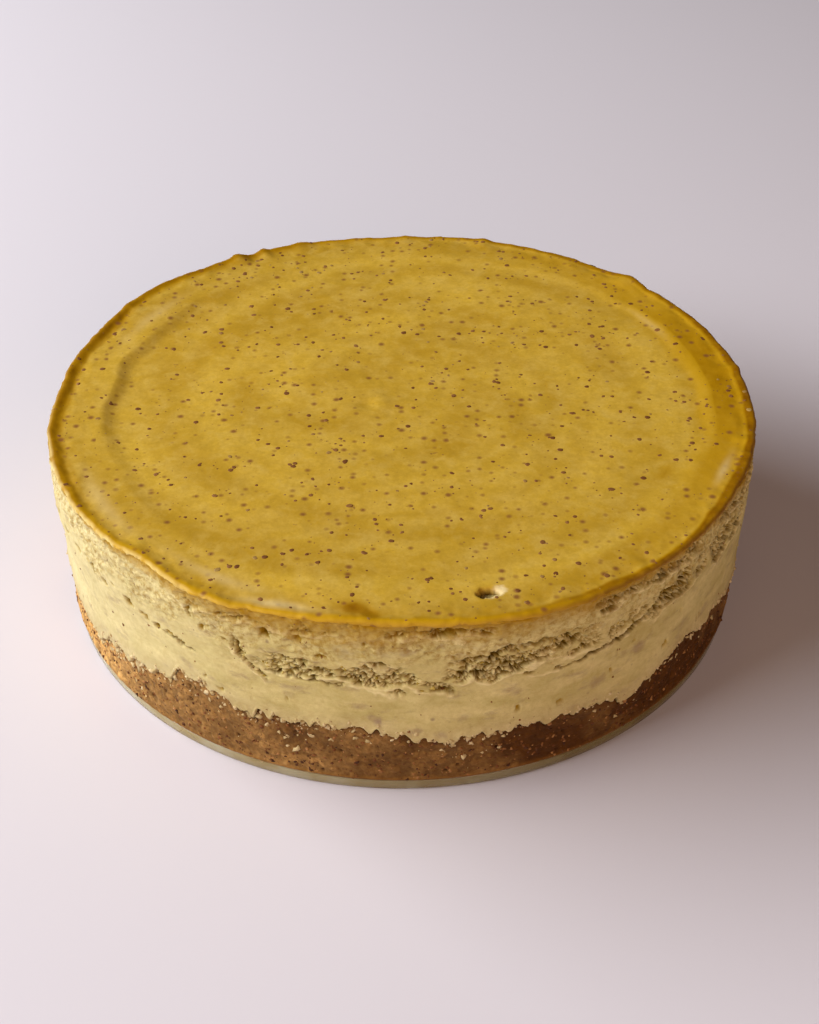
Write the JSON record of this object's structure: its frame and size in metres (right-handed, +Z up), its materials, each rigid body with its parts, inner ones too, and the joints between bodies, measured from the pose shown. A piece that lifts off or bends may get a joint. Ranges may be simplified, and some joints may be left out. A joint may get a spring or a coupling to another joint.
{
  "type": "pistachio cheesecake",
  "caption": "Tall round baked pistachio cheesecake on a pressed biscuit crust and the flush glass base of its springform tin, with a low browned rim, shallow dished top and torn sides.",
  "frame": {"origin": "middle of the flat underside of the tin's glass base, which the cake stands on", "axes": "+Z up along the cake's axis; the front shown to a viewer looks along -Y; +X to that viewer's right"},
  "size_m": [0.2296, 0.2291, 0.0665],
  "materials": {
    "glass_base": "clear tempered glass with a faint green edge, rounded and polished",
    "biscuit_crumb": "pressed, buttered and baked biscuit crumb, rough and matt, oily at its foot; stands for food",
    "pistachio_custard": "baked pistachio cream cheese custard with a satin olive-gold skin, pale creamy sides and dark nut specks; stands for food"
  },
  "bodies": {
    "root": {"tin_base": "glass_base", "biscuit_crust": "biscuit_crumb", "pistachio_filling": "pistachio_custard"}
  },
  "joints": []
}
